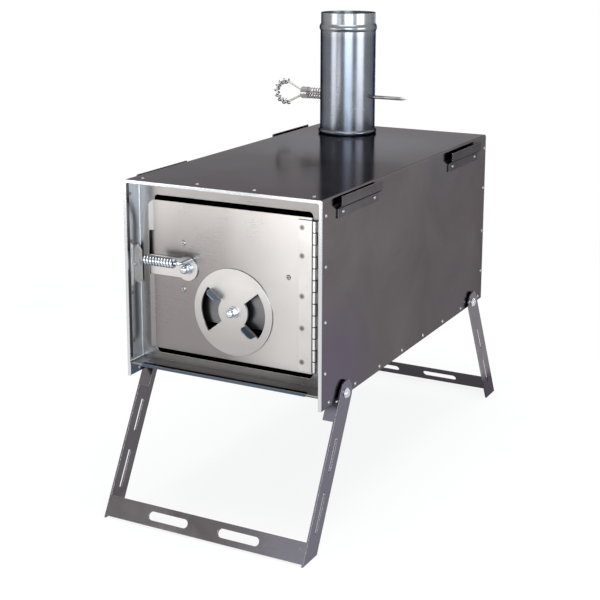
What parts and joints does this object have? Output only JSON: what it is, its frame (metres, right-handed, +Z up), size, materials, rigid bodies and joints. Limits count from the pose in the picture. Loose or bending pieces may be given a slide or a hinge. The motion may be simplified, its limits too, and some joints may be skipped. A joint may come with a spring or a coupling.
{
  "type": "tent wood stove",
  "caption": "Sheet-steel tent wood stove with a hinged door, draft disc, latch, flue pipe with damper, shelf brackets and folding leg frames.",
  "frame": {"origin": "on the floor under the middle of the whole stove, the damper's grip and the legs included", "axes": "+X to the stove's right as seen from the door, +Y from the door to the back, +Z up"},
  "size_m": [0.3058, 0.6194, 0.5622],
  "materials": {
    "shell_steel": "satin",
    "front_steel": "satin",
    "rivet_steel": "satin",
    "bright_plated": "bright",
    "galvanized": "glossy",
    "damper_iron": "matte",
    "damper_wire": "satin",
    "leg_steel": "satin"
  },
  "bodies": {
    "stove_body": {"body_wrap": "shell_steel", "bottom_panel": "shell_steel", "front_panel": "front_steel", "back_panel": "shell_steel", "side_rivets": "rivet_steel", "top_rivets": "rivet_steel", "bracket_front_right": "shell_steel", "bracket_front_left": "shell_steel", "bracket_rear_right": "shell_steel", "bracket_rear_left": "shell_steel", "bracket_rivets": "rivet_steel", "latch_keeper": "front_steel", "keeper_rivet": "rivet_steel", "hinge_frame_leaf": "front_steel", "hinge_pin": "front_steel", "flue_collar": "galvanized", "leg_bolts": "bright_plated", "leg_spacers": "bright_plated", "leg_nuts": "bright_plated"},
    "door": {"door_plate": "front_steel", "hinge_door_leaf": "front_steel", "heat_shield": "front_steel", "shield_spacers": "front_steel", "door_rivets": "rivet_steel", "pivot_bolts": "bright_plated", "pivot_washers": "bright_plated", "cap_nuts": "bright_plated"},
    "draft_disc": {"draft_spinner": "front_steel"},
    "latch": {"latch_bar": "front_steel", "latch_handle_rod": "bright_plated", "latch_handle_coil": "bright_plated"},
    "flue": {"flue_pipe": "galvanized"},
    "damper": {"damper_rod": "damper_wire", "damper_plate": "damper_iron", "damper_cup": "damper_wire", "damper_spring": "damper_wire", "damper_bail": "damper_wire", "damper_bail_coil": "damper_wire"},
    "front_leg_frame": {"front_leg": "leg_steel"},
    "rear_leg_frame": {"rear_leg": "leg_steel"}
  },
  "joints": [
    {"name": "door_hinge", "type": "hinge", "parent": "stove_body", "child": "door", "pos_m": [0.1249, -0.2346, 0.28], "axis": [0, 0, 1], "range_deg": [0, 120]},
    {"name": "draft_disc_turn", "type": "hinge", "parent": "door", "child": "draft_disc", "pos_m": [0.0211, -0.2339, 0.2485], "axis": [0, 1, 0], "continuous": true},
    {"name": "latch_swing", "type": "hinge", "parent": "door", "child": "latch", "pos_m": [-0.0394, -0.2339, 0.2925], "axis": [0, 1, 0], "range_deg": [0, 30]},
    {"name": "pipe_lift", "type": "slide", "parent": "stove_body", "child": "flue", "axis": [0, 0, 1], "range_m": [0, 0.05]},
    {"name": "damper_turn", "type": "hinge", "parent": "flue", "child": "damper", "pos_m": [-0.0359, 0.181, 0.4466], "axis": [1, 0, 0], "continuous": true},
    {"name": "front_leg_fold", "type": "hinge", "parent": "stove_body", "child": "front_leg_frame", "pos_m": [0.0191, -0.204, 0.1646], "axis": [1, 0, 0], "range_deg": [0, 118]},
    {"name": "rear_leg_fold", "type": "hinge", "parent": "stove_body", "child": "rear_leg_frame", "pos_m": [0.0191, 0.204, 0.1646], "axis": [-1, 0, 0], "range_deg": [0, 118]}
  ]
}
